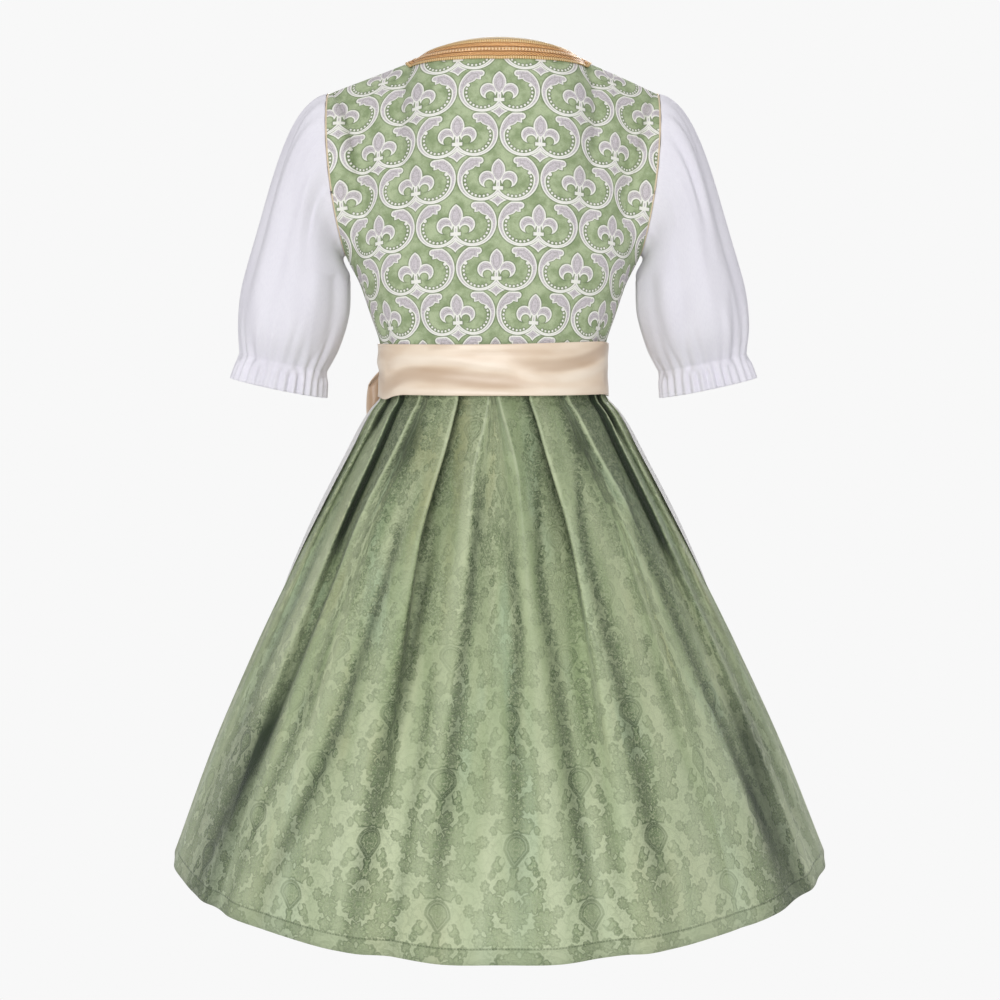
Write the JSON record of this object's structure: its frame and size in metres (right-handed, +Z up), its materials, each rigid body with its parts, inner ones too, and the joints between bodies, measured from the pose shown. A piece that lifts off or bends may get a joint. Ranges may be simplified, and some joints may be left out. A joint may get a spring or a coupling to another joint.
{
  "type": "dirndl dress",
  "caption": "Knee-length dirndl dress in its worn form: fitted bodice, puffed half sleeves, pleated flared skirt, apron and sash tied in a bow.",
  "frame": {"origin": "midway between the shoulders, at the height that the shoulder seams have just outside their middles, where the wearer's shoulders carry the dress", "axes": "+Z up, along the body; the garment's front faces -Y and its back +Y; the wearer's left is +X"},
  "size_m": [0.7592, 0.7475, 0.9423],
  "materials": {
    "jacquard": "sage green jacquard with lilies in off-white and lilac grey",
    "damask": "tone-on-tone green damask with a soft sheen",
    "cotton": "matt white cotton",
    "satin": "champagne satin",
    "braid": "woven gold-coloured braid",
    "piping": "cream piping",
    "apron_cloth": "thin white apron cloth"
  },
  "bodies": {
    "root": {"bodice_back": "jacquard", "bodice_front_left": "jacquard", "bodice_front_right": "jacquard", "neck_braid": "braid", "neck_piping": "piping", "armhole_piping_left": "piping", "armhole_piping_right": "piping", "sleeve_left": "cotton", "sleeve_right": "cotton", "sleeve_ruffle_left": "cotton", "sleeve_ruffle_right": "cotton", "skirt_back": "damask", "skirt_side_left": "damask", "skirt_side_right": "damask", "skirt_front": "damask", "apron": "apron_cloth", "sash": "satin", "bow_knot": "satin", "bow_loop_side": "satin", "bow_loop_front": "satin", "bow_tail_side": "satin", "bow_tail_front": "satin"}
  },
  "joints": []
}
